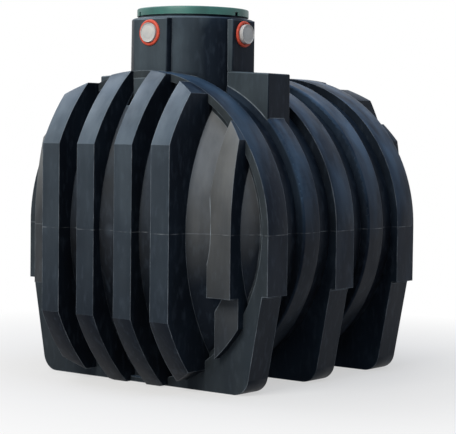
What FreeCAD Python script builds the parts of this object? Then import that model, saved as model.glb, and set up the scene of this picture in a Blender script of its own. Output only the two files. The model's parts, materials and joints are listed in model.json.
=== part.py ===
import FreeCAD, Part
import math
import os
import re

import Sketcher

# Underground rainwater tank, moulded in one wall of black polyethylene.
# The barrel lies along Y with five hoops round it. Each end is a dome with six upright ribs.
# A neck with flat bosses, two plugged pipe seals and a screw lid stands over the front half.
# Frame: millimetres, Z up, origin on the ground under the middle, ribbed front end towards -Y.

SIZES = (
    ("wall", 10, "moulded wall"),
    ("seat_gap", 0.3, "gap between fitted curved faces"),
    ("barrel_radius", 995, "outside of the bays between the hoops"),
    ("hoop_depth", 55, "hoops outside the bays"),
    ("foot_cut", 20, "level soles cut from the round of the hoops"),
    ("hoop_pitch", 376.5, "from one hoop to the next"),
    ("wide_hoop", 208, "width of the three hoops with feet"),
    ("narrow_hoop", 182, "crest width of the two hoops between them"),
    ("narrow_draft", 10, "how much wider a narrow hoop is at each side of its root"),
    ("narrow_round", 20, "rounding of a narrow hoop's crest"),
    ("ground_clear", 8, "narrow hoops above the ground"),
    ("pad_drop", 388, "side pads below the axis"),
    ("pad_step", 42, "pads outside the legs"),
    ("leg_slope", 120, "legs in from the pad to the ground"),
    ("foot_round", 120, "rounding of the feet"),
    ("lip_width", 50, "raised edge round each end"),
    ("lip_depth", 42, "raised edge in front of the dome's root"),
    ("dome_radius", 1460, "outside of the domes"),
    ("dome_inset", 37, "dome's root inside the raised edge"),
    ("rim_land", 25, "band that the dome's edge stands on"),
    ("rib_width", 153, "centre ribs"),
    ("inner_rib_place", 164, "inner ribs from the middle"),
    ("outer_rib_place", 478.5, "outer ribs from the middle"),
    ("rib_reach", 378, "flat of the centre ribs in front of the end hoop"),
    ("rib_radius", 1400, "curve of the centre ribs"),
    ("rib_curve", 490, "height of that curve, to the hoop's crest"),
    ("side_rib_width", 190, "side ribs"),
    ("side_rib_inset", 187, "side ribs inside the widest part of the hoop"),
    ("side_rib_reach", 143, "flat of the side ribs in front of the end hoop"),
    ("side_rib_radius", 2350, "curve of the side ribs above the axis"),
    ("side_rib_lean", 2880, "curve of their inner edges towards the crest"),
    ("side_rib_drop", 405, "pad of the side ribs below the axis"),
    ("side_rib_step", 86, "side ribs set back below the pad"),
    ("pocket_drop", 233, "floor of the lifting pocket below the hoop's crest"),
    ("neck_place", 350, "neck axis in front of the middle"),
    ("neck_radius", 418, "outside of the neck at its rim"),
    ("neck_flare", 8, "neck wider at the bottom"),
    ("neck_rise", 361, "neck rim above the hoops' crests"),
    ("neck_round", 14, "rounding of the neck rim"),
    ("collar_inset", 52, "collar in the lid inside the neck's rim"),
    ("collar_height", 52, "collar above the rim"),
    ("boss_depth", 28, "boss faces outside the neck"),
    ("front_boss_width", 296, "bosses to the front and back"),
    ("side_boss_width", 242, "bosses to the sides, and the shoulders"),
    ("boss_drop", 14, "bosses below the neck rim"),
    ("boss_round", 10, "rounding of the boss and shoulder edges"),
    ("shoulder_length", 746, "shoulders from the middle"),
    ("shoulder_rise", 1, "shoulders above the hoops' crests"),
    ("shoulder_fall", 16, "shoulders lower at their ends"),
    ("seal_drop", 109, "seals below the neck rim"),
    ("seal_bore", 150, "hole through the boss for a seal"),
    ("seal_flange", 176, "outside of the seal's flange"),
    ("seal_proud", 13, "seal in front of the boss"),
    ("seal_depth", 20, "seal's sleeve behind the boss's face"),
    ("plug_diameter", 129, "plugs in the seals"),
    ("front_plug_proud", 24, "front plug in front of the boss"),
    ("right_plug_proud", 38, "right plug in front of the boss"),
    ("plug_depth", 40, "plugs behind the boss's face"),
    ("plug_wall", 4, "wall of the plugs"),
    ("plug_recess", 5, "plug face behind its rim"),
    ("lid_overhang", 16, "lid outside the collar"),
    ("lid_gap", 18, "lid skirt above the neck rim"),
    ("lid_height", 83, "lid top above the neck rim"),
    ("lid_wall", 9, "wall of the lid"),
    ("lid_crown", 14, "middle of the lid above its edge"),
    ("lid_centre", 90, "level middle of the lid"),
    ("lid_round", 10, "rounding of the lid's edge"),
    ("notch_width", 34, "lock notch in the lid skirt"),
    ("notch_height", 24, "height of the lock notch"),
    ("notch_turn", 90, "turn of the lock notch about the neck, degrees"),
)

# Sizes that follow from those in the sheet.
WORKED_OUT = {
    "hoop_radius": "barrel_radius + hoop_depth",
    "axis_height": "hoop_radius - foot_cut",
    "dome_edge": "hoop_radius - lip_width - dome_inset",
    "rib_flat": "hoop_radius - rib_curve",
    "side_rib_place": "hoop_radius - side_rib_inset - side_rib_width / 2",
    "neck_height": "hoop_radius + neck_rise",
    "collar_radius": "neck_radius - collar_inset",
    "boss_reach": "neck_radius + boss_depth",
    "lid_radius": "collar_radius + lid_overhang",
    "pocket_sill": "hoop_radius - pocket_drop",
}

# Places along the barrel, all measured from the middle.
END = "(2 * hoop_pitch + wide_hoop / 2)"
ROOT = f"({END} - lip_depth)"
DOME_RISE = "sqrt(dome_radius * dome_radius - dome_edge * dome_edge)"
LIP_RADIUS = "(hoop_radius - lip_width)"
RIB_FACE = f"({END} + rib_reach)"
SIDE_RIB_FACE = f"({END} + side_rib_reach)"
NECK_TOP = "(axis_height + neck_height)"

doc = FreeCAD.newDocument("water_tank")
sheet = doc.addObject("Spreadsheet::Sheet", "Sizes")
for row, (alias, size, meaning) in enumerate(SIZES, 1):
    sheet.set(f"A{row}", meaning)
    sheet.set(f"B{row}", str(size))
    sheet.setAlias(f"B{row}", alias)
doc.recompute()

nodes = {}


def cells(text):
    """Puts the sheet's name before each size in an expression, and spells out what is worked out."""
    def named(match):
        word = match[0]
        if word in WORKED_OUT:
            return f"({cells(WORKED_OUT[word])})"
        return word if word == "sqrt" else "Sizes." + word
    return re.sub(r"[a-z_]{3,}", named, str(text))


def value(text):
    """The present value of an expression."""
    return float(sheet.evalExpression(cells(text)))


def tie(thing, **sizes):
    """Binds properties of an object to expressions in the sheet's sizes."""
    for name, text in sizes.items():
        thing.setExpression(name.replace("__", "."), cells(text))
    return thing


def keep(name, thing):
    """Makes an object the finished sub-part of that name."""
    thing.Label = name
    nodes[name] = thing
    return thing


# Sketches

def new_body(name, height="axis_height"):
    """A body whose own origin lies on the barrel axis, or at another height."""
    body = doc.addObject("PartDesign::Body", name)
    return tie(body, Placement__Base__z=height)


def new_sketch(body, role, lift=None):
    """A sketch on one of the body's own origin planes, or lifted off it."""
    sketch = body.newObject("Sketcher::SketchObject", body.Name + "_sketch")
    plane = [part for part in body.Origin.OriginFeatures if part.Role == role][0]
    sketch.AttachmentSupport = (plane, [""])
    sketch.MapMode = "FlatFace"
    if lift is not None:
        tie(sketch, AttachmentOffset__Base__z=lift)
    return sketch


def set_distance(sketch, kind, item, end, text):
    """One distance of a sketched point from the sketch's origin."""
    index = sketch.addConstraint(Sketcher.Constraint(kind, -1, 1, item, end, value(text)))
    sketch.setExpression(f"Constraints[{index}]", cells(text))


def arc_between(start, stop, size, sign):
    """The short arc of a given radius, always drawn anticlockwise."""
    chord = stop - start
    side = FreeCAD.Vector(chord.y, -chord.x, 0).normalize()
    rise = math.sqrt(max(size * size - chord.Length ** 2 / 4, 0))
    centre = (start + stop) / 2 - side * (sign * rise)
    first, last = (start, stop) if sign > 0 else (stop, start)
    low = math.atan2(first.y - centre.y, first.x - centre.x)
    high = math.atan2(last.y - centre.y, last.x - centre.x)
    circle = Part.Circle(centre, FreeCAD.Vector(0, 0, 1), size)
    return Part.ArcOfCircle(circle, low, high if high > low else high + 2 * math.pi)


def draw_outline(sketch, corners):
    """A closed outline. A corner is (x, y), or (x, y, radius) where an arc follows it.

    An arc bulges to the right of its way for a positive radius, to the left for a negative one.
    """
    points = [FreeCAD.Vector(value(corner[0]), value(corner[1]), 0) for corner in corners]
    first = sketch.GeometryCount
    ends = []
    for place, corner in enumerate(corners):
        start, stop = points[place], points[(place + 1) % len(points)]
        if len(corner) == 2:
            sketch.addGeometry(Part.LineSegment(start, stop), False)
            ends.append((1, 2))
            continue
        sign, radius = (-1, corner[2][1:]) if corner[2].startswith("-") else (1, corner[2])
        size = value(radius)
        arc = arc_between(start, stop, size, sign)
        index = sketch.addGeometry(arc, False)
        ends.append((1, 2) if sign > 0 else (2, 1))
        limit = sketch.addConstraint(Sketcher.Constraint("Radius", index, size))
        sketch.setExpression(f"Constraints[{limit}]", cells(radius))
    for place, corner in enumerate(corners):
        item, after = first + place, (place + 1) % len(corners)
        joint = (item, ends[place][1], first + after, ends[after][0])
        sketch.addConstraint(Sketcher.Constraint("Coincident", *joint))
        set_distance(sketch, "DistanceX", item, ends[place][0], corner[0])
        set_distance(sketch, "DistanceY", item, ends[place][0], corner[1])


def draw_circle(sketch, radius, across="0", up="0"):
    """A circle of a bound radius about a bound centre."""
    centre = FreeCAD.Vector(value(across), value(up), 0)
    circle = Part.Circle(centre, FreeCAD.Vector(0, 0, 1), value(radius))
    index = sketch.addGeometry(circle, False)
    set_distance(sketch, "DistanceX", index, 3, across)
    set_distance(sketch, "DistanceY", index, 3, up)
    limit = sketch.addConstraint(Sketcher.Constraint("Radius", index, value(radius)))
    sketch.setExpression(f"Constraints[{limit}]", cells(radius))


# Features

def pad(body, sketch, length, symmetric=True, reverse=False):
    """Pads a sketch, to both sides of it or to one."""
    feature = body.newObject("PartDesign::Pad", body.Name + "_pad")
    feature.Profile = sketch
    feature.SideType = "Symmetric" if symmetric else "One side"
    feature.Reversed = reverse
    return tie(feature, Length=length)


def revolve(body, sketch, axis="H_Axis"):
    """Turns a sketch once round one of its own axes."""
    feature = body.newObject("PartDesign::Revolution", body.Name + "_turn")
    feature.Profile = sketch
    feature.ReferenceAxis = (sketch, [axis])
    feature.Angle = 360
    return feature


def pocket(body, sketch, length=None, symmetric=False, reverse=False):
    """Cuts a sketch into the body, to a depth or right through."""
    feature = body.newObject("PartDesign::Pocket", body.Name + "_pocket")
    feature.Profile = sketch
    feature.Reversed = reverse
    if length is None:
        feature.Type = "ThroughAll"
        feature.SideType = "Symmetric"
        return feature
    feature.SideType = "Symmetric" if symmetric else "One side"
    return tie(feature, Length=length)


def round_edges(body, base, chosen, radius):
    """Rounds the edges of the last feature that a test picks out."""
    doc.recompute([base])
    edges = [f"Edge{number}" for number, edge in enumerate(base.Shape.Edges, 1) if chosen(edge)]
    feature = body.newObject("PartDesign::Fillet", body.Name + "_round")
    feature.Base = (base, edges)
    return tie(feature, Radius=radius)


def cylinder(name, radius, height, base, turn=None):
    """A plain cylinder, upright or along Y."""
    thing = doc.addObject("Part::Cylinder", name)
    thing.Placement.Rotation = turn or FreeCAD.Rotation()
    tie(thing, Radius=radius, Height=height)
    return place(thing, base)


def box(name, low, high):
    """A plain box between two corners."""
    thing = doc.addObject("Part::Box", name)
    names = ("Length", "Width", "Height")
    tie(thing, **{size: f"({high[axis]}) - ({low[axis]})" for axis, size in enumerate(names)})
    return place(thing, low)


def place(thing, base):
    """Binds the place of a primitive."""
    return tie(thing, **{f"Placement__Base__{axis}": text for axis, text in zip("xyz", base)})


def cut(name, base, *tools):
    """The base less its tools."""
    for number, tool in enumerate(tools, 1):
        thing = doc.addObject("Part::Cut", f"{name}_cut_{number}")
        thing.Base, thing.Tool = base, tool
        base = thing
    return base


def common(name, base, tool):
    """What two shapes share."""
    thing = doc.addObject("Part::Common", name)
    thing.Base, thing.Tool = base, tool
    return thing


def join(name, *shapes):
    """Several shapes as one."""
    thing = doc.addObject("Part::MultiFuse", name)
    thing.Shapes = list(shapes)
    return thing


def mirror(name, source, normal):
    """The same piece on the other side of the tank."""
    thing = doc.addObject("Part::Mirroring", name)
    thing.Source = source
    thing.Normal = normal
    return keep(name, thing)


ALONG_Y = FreeCAD.Rotation(FreeCAD.Vector(1, 0, 0), -90)
LEFT_TO_RIGHT = FreeCAD.Vector(1, 0, 0)
FRONT_TO_BACK = FreeCAD.Vector(0, 1, 0)


# Hoops and bays of the barrel

BAY_BORE = "(barrel_radius - wall)"
DOME_BORE = "(dome_edge - rim_land)"
LEG_HEIGHT = "(axis_height - pad_drop)"
LEG_LENGTH = f"sqrt(leg_slope * leg_slope + {LEG_HEIGHT} * {LEG_HEIGHT})"
TURN_SHARE = f"sqrt(({LEG_LENGTH} - leg_slope) / ({LEG_LENGTH} + leg_slope))"


def hoop_outline(inset):
    """A wide hoop from the front: round over the top, pads, sloping legs, flat foot."""
    half, drop = f"(hoop_radius - {inset})", f"(pad_drop + {inset})"
    knee, toe = f"({half} - pad_step)", f"({half} - pad_step - leg_slope)"
    rounding, floor = f"(foot_round - {inset})", f"(axis_height - {inset})"
    tangent = f"({rounding} * {TURN_SHARE})"
    heel = (f"({toe} + {tangent} * leg_slope / {LEG_LENGTH})",
            f"-{floor} + {tangent} * {LEG_HEIGHT} / {LEG_LENGTH}")
    sole = f"({toe} - {tangent})"
    return [
        (half, "0", half), ("0", half, half), (f"-{half}", "0"), (f"-{half}", f"-{drop}"),
        (f"-{knee}", f"-{drop}"), (f"-{heel[0]}", heel[1], rounding), (f"-{sole}", f"-{floor}"),
        (sole, f"-{floor}", rounding), heel, (knee, f"-{drop}"), (half, f"-{drop}"),
    ]


def hoop_block(name, centre):
    """A wide hoop as a solid block."""
    body = new_body(name)
    outline = new_sketch(body, "XZ_Plane", f"-({centre})")
    draw_outline(outline, hoop_outline("0"))
    pad(body, outline, "wide_hoop")
    return body


def hollow_hoop(body, front, depth, symmetric=False):
    """Hollows a hoop's rim behind a plane, and gives back the sketch of the hollow."""
    inside = new_sketch(body, "XZ_Plane", front)
    draw_outline(inside, hoop_outline("wall"))
    pocket(body, inside, depth, symmetric)
    return inside


def bore_through(body, radius, plane=None, depth=None, reverse=False):
    """A round hole on the barrel axis."""
    hole = new_sketch(body, "XZ_Plane", plane)
    draw_circle(hole, radius)
    return pocket(body, hole, depth, reverse=reverse)


def wide_hoop(name, centre):
    """A hoop with feet in the barrel: one moulded wall, open to the inside."""
    body = hoop_block(name, centre)
    hollow_hoop(body, f"-({centre})", "wide_hoop - 2 * wall", symmetric=True)
    bore_through(body, BAY_BORE)
    return body


def end_hoop(name):
    """The front hoop: hollow behind the dome's land and in the raised edge round it."""
    body = hoop_block(name, "-2 * hoop_pitch")
    hollow_hoop(body, f"{ROOT} - wall", "wide_hoop - lip_depth - 2 * wall")
    channel = hollow_hoop(body, f"{END} - wall", "lip_depth")
    draw_circle(channel, f"{LIP_RADIUS} + wall")
    bore_through(body, DOME_BORE)
    bore_through(body, BAY_BORE, f"{END} - wide_hoop", "wide_hoop - lip_depth - wall", reverse=True)
    bore_through(body, LIP_RADIUS, END, "lip_depth")
    return body


def band_outline(centre, inset, low):
    """A narrow hoop cut through its rim: sloping sides up to a flat crest with round edges."""
    crest, top = f"(narrow_hoop / 2 - {inset})", f"(hoop_radius - {inset})"
    rounding, draft = f"(narrow_round - {inset})", "narrow_draft / (hoop_radius - barrel_radius)"
    side, root = f"({crest} + {draft} * {rounding})", f"({crest} + {draft} * ({top} - {low}))"
    level = f"({side} - {rounding})"
    return [(f"{centre} - {root}", "0"), (f"{centre} + {root}", "0"), (f"{centre} + {root}", low),
            (f"{centre} + {side}", f"{top} - {rounding}", rounding), (f"{centre} + {level}", top),
            (f"{centre} - {level}", top, rounding), (f"{centre} - {side}", f"{top} - {rounding}"),
            (f"{centre} - {root}", low)]


def band_blank(name, centre, inset="0", low="barrel_radius"):
    """A narrow hoop as a solid disc."""
    body = new_body(name)
    profile = new_sketch(body, "YZ_Plane")
    draw_outline(profile, band_outline(centre, inset, low))
    return body, revolve(body, profile)


def flatten(body, inset="0"):
    """Cuts a narrow hoop level underneath, so that the feet carry the tank."""
    flat = new_sketch(body, "XZ_Plane")
    low, high = "-hoop_radius - wall", f"-axis_height + ground_clear + {inset}"
    draw_outline(flat, [("-hoop_radius", low), ("hoop_radius", low),
                        ("hoop_radius", high), ("-hoop_radius", high)])
    return pocket(body, flat)


def narrow_band(name, centre):
    """A plain hoop: one moulded wall, open to the inside."""
    body, solid = band_blank(name, centre)
    flatten(body)
    bore_through(body, BAY_BORE)
    inside = band_blank(f"{name}_inside", centre, "wall", "(barrel_radius - 2 * wall)")[0]
    flatten(inside, "wall")
    return cut(name, body, inside)


def bay(name, low, high):
    """A plain stretch of barrel between two hoops."""
    body = new_body(name)
    profile = new_sketch(body, "YZ_Plane")
    draw_outline(profile, [(low, BAY_BORE), (high, BAY_BORE),
                           (high, "barrel_radius"), (low, "barrel_radius")])
    revolve(body, profile)
    return body


# Ends

def ball(name, radius):
    """A ball about the dome's centre, which lies far behind the front end."""
    thing = tie(doc.addObject("Part::Sphere", name), Radius=radius)
    thing.Placement.Rotation = ALONG_Y
    return place(thing, ("0", f"{DOME_RISE} - {ROOT}", "axis_height"))


def dome(name):
    """The front end: a shallow bowl of one wall, cut from a hollow ball."""
    shell = cut(f"{name}_ball", ball(f"{name}_outside", "dome_radius"),
                ball(f"{name}_inside", "dome_radius - wall"))
    front = cylinder(f"{name}_front", "hoop_radius", f"{END}",
                     ("0", f"-{ROOT} - {END}", "axis_height"), ALONG_Y)
    return common(name, shell, front)


def cut_outside_crest(body, inset):
    """Cuts away what stands out beyond the hoops' crests, or below the ground."""
    reach, floor = "2 * hoop_radius", f"-axis_height + {inset}"
    round_about = new_sketch(body, "XZ_Plane")
    draw_outline(round_about, [(f"-{reach}", f"-{reach}"), (reach, f"-{reach}"),
                               (reach, reach), (f"-{reach}", reach)])
    draw_circle(round_about, f"(hoop_radius - {inset})")
    pocket(body, round_about)
    ground = new_sketch(body, "XZ_Plane")
    draw_outline(ground, [(f"-{reach}", f"-{reach}"), (reach, f"-{reach}"),
                          (reach, floor), (f"-{reach}", floor)])
    pocket(body, ground)


def rib_blank(name, centre, width, profile, inset):
    """A rib from its side outline, trimmed to the hoop's crest and the ground."""
    body = new_body(name)
    side = new_sketch(body, "YZ_Plane", centre)
    draw_outline(side, profile(inset))
    pad(body, side, f"{width} - 2 * {inset}")
    cut_outside_crest(body, inset)
    return body


def side_rib_blank(name, centre, width, profile, inset):
    """A side rib, whose inner edge leans outwards from the axis up to the crest."""
    body = rib_blank(name, centre, width, profile, inset)
    edge, far = f"({centre} - {width} / 2 + {inset})", f"({centre} - {width})"
    curve, high = f"(side_rib_lean - {inset})", "barrel_radius"
    lean = new_sketch(body, "XZ_Plane")
    draw_outline(lean, [
        (edge, "0", f"-{curve}"), (f"{edge} + {curve} - sqrt({curve} * {curve} - {high} * {high})", high),
        (far, high), (far, "0"),
    ])
    pocket(body, lean)
    return body


def rib_shell(name, blank, *sizes):
    """A rib's wall, open to the dome behind it."""
    return cut(name, blank(name, *sizes, "0"), blank(f"{name}_inside", *sizes, "wall"))


def centre_profile(inset):
    """A tall rib from the side: flat in the middle, curving back above and below."""
    arc_centre = f"({RIB_FACE} - sqrt(rib_radius * rib_radius - rib_flat * rib_flat))"
    radius, face = f"(rib_radius - {inset})", f"({RIB_FACE} - {inset})"
    back = f"({ROOT} - {inset})"
    kink = f"sqrt({radius} * {radius} - ({face} - {arc_centre}) * ({face} - {arc_centre}))"
    top = f"sqrt({radius} * {radius} - ({back} - {arc_centre}) * ({back} - {arc_centre}))"
    return [(f"-{back}", top, radius), (f"-{face}", kink),
            (f"-{face}", f"-{kink}", radius), (f"-{back}", f"-{top}")]


def side_profile(inset):
    """A short rib from the side: curved above the axis, a pad below it, set back under the pad."""
    radius, face = f"(side_rib_radius - {inset})", f"({SIDE_RIB_FACE} - {inset})"
    back, low = f"({ROOT} - {inset})", f"({face} - side_rib_step)"
    run, drop = f"({back} + {radius} - {face})", f"(side_rib_drop + {inset})"
    return [(f"-{back}", f"sqrt({radius} * {radius} - {run} * {run})", radius), (f"-{face}", "0"),
            (f"-{face}", f"-{drop}"), (f"-{low}", f"-{drop}"),
            (f"-{low}", "-hoop_radius - wall"), (f"-{back}", "-hoop_radius - wall")]


def centre_rib(name, centre):
    """One of the four tall ribs on the dome."""
    return rib_shell(name, rib_blank, centre, "rib_width", centre_profile)


def side_rib(name, centre):
    """One of the two short ribs at the sides of the dome."""
    return rib_shell(name, side_rib_blank, centre, "side_rib_width", side_profile)


# Neck, shoulders and bosses

NECK_BOTTOM = "(barrel_radius - neck_radius)"
BOSS_TOP = "(neck_height - boss_drop)"
SHOULDER_TOP = "(hoop_radius + shoulder_rise)"
SHOULDER_LOW = "(sqrt(barrel_radius * barrel_radius - shoulder_length * shoulder_length) - 2 * wall)"


def on_neck_axis(body, height="axis_height", along="0", across="0"):
    """Places a body's origin on the neck axis, or at a distance from it."""
    return tie(body, Placement__Base__x=across, Placement__Base__y=f"{along} - neck_place",
               Placement__Base__z=height)


def make_neck(name):
    """The upright neck with its rim and the collar that the lid sits on."""
    body = on_neck_axis(new_body(name))
    profile = new_sketch(body, "XZ_Plane")
    foot, top = "neck_radius + neck_flare", "neck_height + collar_height"
    draw_outline(profile, [
        (foot, NECK_BOTTOM), ("neck_radius", "neck_height"), ("collar_radius", "neck_height"),
        ("collar_radius", top), ("collar_radius - wall", top),
        ("collar_radius - wall", "neck_height - wall"),
        ("neck_radius - wall", "neck_height - wall"), (f"{foot} - wall", NECK_BOTTOM),
    ])
    turned = revolve(body, profile, "V_Axis")
    rim, radius = value("neck_height"), value("neck_radius")

    def is_rim(edge):
        point = edge.valueAt(edge.FirstParameter)
        return abs(point.z - rim) < 0.01 and abs(math.hypot(point.x, point.y) - radius) < 0.01

    round_edges(body, turned, is_rim, "neck_round")
    return body


def boss(name, width, bottom, turn, bored):
    """A flat boss on the neck: a shallow box, open behind and below."""
    body = on_neck_axis(new_body(name))
    body.Placement.Rotation = FreeCAD.Rotation(FreeCAD.Vector(0, 0, 1), turn)
    front = new_sketch(body, "XZ_Plane", "boss_reach")
    half = f"({width} / 2)"
    draw_outline(front, [(f"-{half}", bottom), (half, bottom), (half, BOSS_TOP), (f"-{half}", BOSS_TOP)])
    depth = f"boss_reach - sqrt(neck_radius * neck_radius - {half} * {half}) + 3 * wall"
    solid = pad(body, front, depth, symmetric=False, reverse=True)
    face, high = -value("boss_reach"), value(BOSS_TOP)

    def is_outer_edge(edge):
        bounds = edge.BoundBox
        on_face = bounds.YMax < face + 0.01
        upright = bounds.ZLength > 1
        on_top = bounds.ZMin > high - 0.01
        return on_face and (upright or on_top)

    round_edges(body, solid, is_outer_edge, "boss_round")
    inside, within = new_sketch(body, "XZ_Plane", "boss_reach - wall"), f"({half} - wall)"
    draw_outline(inside, [(f"-{within}", "0"), (within, "0"),
                          (within, f"{BOSS_TOP} - wall"), (f"-{within}", f"{BOSS_TOP} - wall")])
    pocket(body, inside, "boss_reach")
    if bored:
        hole = new_sketch(body, "XZ_Plane", "boss_reach")
        draw_circle(hole, "seal_bore / 2", "0", "neck_height - seal_drop")
        pocket(body, hole, "seal_depth")
    return body


def shoulder_outline(inset):
    """A shoulder from the front: level beside the boss, then falling slightly to its end."""
    inner, low = f"(neck_radius / 2 - {inset})", f"({SHOULDER_LOW} - {inset})"
    end, top = f"(shoulder_length - {inset})", f"({SHOULDER_TOP} - {inset})"
    return [(inner, low), (end, low), (end, f"{top} - shoulder_fall"), ("boss_reach", top), (inner, top)]


def shoulder(name):
    """The right shoulder: a block astride the second hoop, out from the neck, open below."""
    body = on_neck_axis(new_body(name))
    side = new_sketch(body, "XZ_Plane")
    draw_outline(side, shoulder_outline("0"))
    solid = pad(body, side, "side_boss_width")
    end, bend, low = value("shoulder_length"), value("boss_reach"), value(SHOULDER_LOW)

    def is_end_edge(edge):
        bounds = edge.BoundBox
        on_end, falling = bounds.XMin > end - 0.01, bounds.XMin > bend - 0.01
        return (on_end and bounds.ZMax > low + 1) or (falling and bounds.ZMin > low + 1)

    round_edges(body, solid, is_end_edge, "boss_round")
    inside = new_sketch(body, "XZ_Plane")
    draw_outline(inside, shoulder_outline("wall"))
    pocket(body, inside, "side_boss_width - 2 * wall", symmetric=True)
    return body


# Lid, seals and plugs

def make_lid(name):
    """The screw lid: a slightly crowned disc with a skirt and a splayed lock notch."""
    body = on_neck_axis(new_body(name), NECK_TOP)
    body.Placement.Rotation = FreeCAD.Rotation(FreeCAD.Vector(0, 0, 1), value("notch_turn"))
    profile = new_sketch(body, "XZ_Plane")
    edge, inner = "(lid_height - lid_crown)", "(collar_radius - 3 * wall)"
    draw_outline(profile, [
        ("0", "lid_height"), ("lid_centre", "lid_height"), ("lid_radius", edge),
        ("lid_radius", "lid_gap"), ("lid_radius - lid_wall", "lid_gap"),
        ("lid_radius - lid_wall", "collar_height"), (inner, "collar_height"),
        (inner, f"{edge} - lid_wall"), ("lid_centre", "lid_height - lid_wall"),
        ("0", "lid_height - lid_wall"),
    ])
    turned = revolve(body, profile, "V_Axis")
    rim, height = value("lid_radius"), value(edge)

    def is_edge(line):
        point = line.valueAt(line.FirstParameter)
        return abs(point.z - height) < 0.01 and abs(math.hypot(point.x, point.y) - rim) < 0.01

    round_edges(body, turned, is_edge, "lid_round")
    slot = new_sketch(body, "XZ_Plane", "lid_radius")
    half, high = "(notch_width / 2)", "lid_gap + notch_height"
    draw_outline(slot, [(f"-{half}", "0"), (half, "0"), (half, high), (f"-{half}", high)])
    notch = pocket(body, slot, "2 * lid_wall")
    # The copies turn about the notch's own upright axis on the rim, which splays its sides.
    splay = body.newObject("PartDesign::PolarPattern", "notch_splay")
    splay.Originals = [notch]
    splay.Axis = (slot, ["V_Axis"])
    splay.Angle = 360
    splay.Occurrences = 3
    body.Tip = splay
    return body


def turned_fitting(name, outline, across, along, turn):
    """A round fitting in a boss: its own origin on the boss's face, pointing out along -Y."""
    body = on_neck_axis(new_body(name), f"{NECK_TOP} - seal_drop", along, across)
    body.Placement.Rotation = FreeCAD.Rotation(FreeCAD.Vector(0, 0, 1), turn)
    profile = new_sketch(body, "YZ_Plane")
    draw_outline(profile, outline)
    revolve(body, profile)
    return body


def seal_outline():
    """A lip seal: a flange outside the boss and a sleeve through it."""
    inner, sleeve = "(plug_diameter / 2 + seat_gap)", "(seal_bore / 2 - seat_gap)"
    return [("-seal_proud", inner), ("seal_depth", inner), ("seal_depth", sleeve), ("0", sleeve),
            ("0", "seal_flange / 2"), ("-seal_proud", "seal_flange / 2")]


def plug_outline(proud):
    """A pipe plug: a short cup, its face set back behind a rim."""
    outer, inner = "plug_diameter / 2", "(plug_diameter / 2 - plug_wall)"
    face = f"(plug_recess - {proud})"
    return [(f"-{proud}", inner), (face, inner), (face, "0"), (f"{face} + plug_wall", "0"),
            (f"{face} + plug_wall", inner), ("plug_depth", inner), ("plug_depth", outer),
            (f"-{proud}", outer)]


# Shapes that trim the pieces to each other

def make_crown():
    """The outside of the barrel and its hoops, as the neck and shoulders stand on it."""
    along = {"radius": "barrel_radius + seat_gap", "height": f"2 * {END}"}
    parts = [cylinder("crown_barrel", **along, base=("0", f"-{END}", "axis_height"), turn=ALONG_Y)]
    for number in (-2, 0, 2):
        start = f"{number} * hoop_pitch - wide_hoop / 2 - seat_gap"
        parts.append(cylinder(f"crown_hoop_{number + 3}", "hoop_radius + seat_gap",
                              "wide_hoop + 2 * seat_gap", ("0", start, "axis_height"), ALONG_Y))
    for number in (-1, 1):
        parts.append(band_blank(f"crown_band_{number + 2}", f"{number} * hoop_pitch", "(-seat_gap)")[0])
    return join("crown", *parts)


def make_lip_ring():
    """The solid edge of the end hoop in front of the dome's root, which the ribs stop at."""
    reach, behind = "(hoop_radius + wall)", "(2 * wall)"
    outer = box("lip_block", (f"-{reach}", f"-{END}", "-wall"),
                (reach, f"-{ROOT} + {behind}", "2 * hoop_radius"))
    inner = cylinder("lip_hole", f"{LIP_RADIUS} - seat_gap", f"lip_depth + {behind}",
                     ("0", f"-{END}", "axis_height"), ALONG_Y)
    return cut("lip_ring", outer, inner)


crown = make_crown()
lip_ring = make_lip_ring()
bowl = ball("bowl", "dome_radius + seat_gap")
shaft = cylinder("shaft", "neck_radius - wall", "hoop_radius + wall", ("0", "-neck_place", "axis_height"))
neck_core = doc.addObject("Part::Cone", "neck_core")
tie(neck_core, Radius1="neck_radius + neck_flare + seat_gap", Radius2="neck_radius + seat_gap",
    Height=f"neck_height - {NECK_BOTTOM}")
place(neck_core, ("0", "-neck_place", f"axis_height + {NECK_BOTTOM}"))

# Barrel
hoop_half, band_half = "wide_hoop / 2", "(narrow_hoop / 2 + narrow_draft)"
front_hoop = end_hoop("front_hoop_shell")
band = narrow_band("front_band_shell", "-hoop_pitch")
first_bay = bay("front_bay_shell", f"-2 * hoop_pitch + {hoop_half}", f"-hoop_pitch - {band_half}")
second_bay = bay("middle_bay_shell", f"-hoop_pitch + {band_half}", f"-{hoop_half}")
keep("front_hoop", cut("front_hoop", front_hoop, shaft))
keep("front_bay", cut("front_bay", first_bay, shaft))
keep("front_band", cut("front_band", band, shaft))
keep("middle_front_bay", cut("middle_front_bay", second_bay, shaft))
keep("middle_hoop", cut("middle_hoop", wide_hoop("middle_hoop_shell", "0"), shaft))
mirror("middle_rear_bay", second_bay, FRONT_TO_BACK)
mirror("rear_band", band, FRONT_TO_BACK)
mirror("rear_bay", first_bay, FRONT_TO_BACK)
mirror("rear_hoop", front_hoop, FRONT_TO_BACK)

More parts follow.
